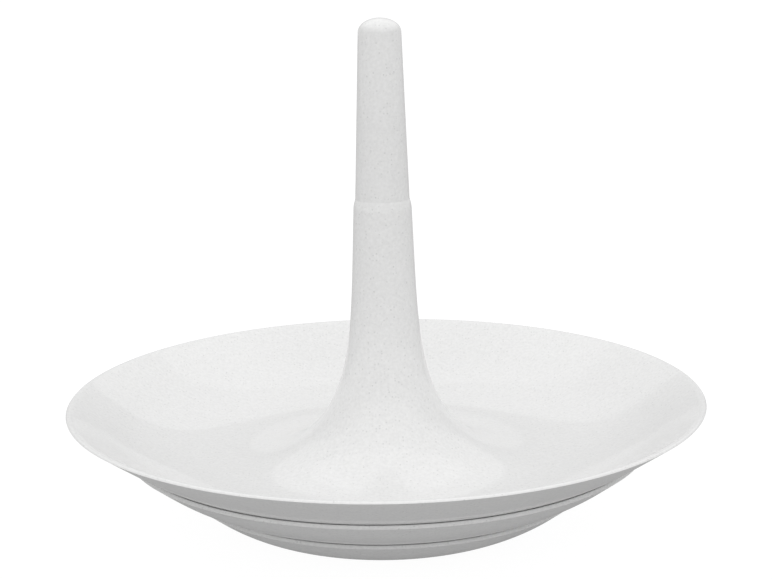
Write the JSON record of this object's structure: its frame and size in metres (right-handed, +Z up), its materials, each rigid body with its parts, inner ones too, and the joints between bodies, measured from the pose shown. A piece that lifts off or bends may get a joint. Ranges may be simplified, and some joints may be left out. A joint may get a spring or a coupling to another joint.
{
  "type": "tiered tray stand",
  "caption": "Tiered stand of nested round trays whose flared hollow stems sleeve over one another around a tall domed centre stem.",
  "frame": {"origin": "on the stems' common axis, at the foot of the lowest tray, which is the surface that the stand rests on", "axes": "+Z is up along the stems; X and Y are level, and the stand is the same all round"},
  "size_m": [0.315, 0.315, 0.2496],
  "materials": {
    "speckled_plastic": "off-white moulded plastic with very fine, faint grey specks and a soft sheen"
  },
  "bodies": {
    "small_tray": {"small_tray": "speckled_plastic"},
    "medium_tray": {"medium_tray": "speckled_plastic"},
    "large_tray": {"large_tray": "speckled_plastic"}
  },
  "joints": [
    {"name": "medium_tray_lift", "type": "slide", "parent": "small_tray", "child": "medium_tray", "axis": [0, 0, 1], "range_m": [0, 0.24]},
    {"name": "large_tray_lift", "type": "slide", "parent": "medium_tray", "child": "large_tray", "axis": [0, 0, 1], "range_m": [0, 0.225]}
  ]
}
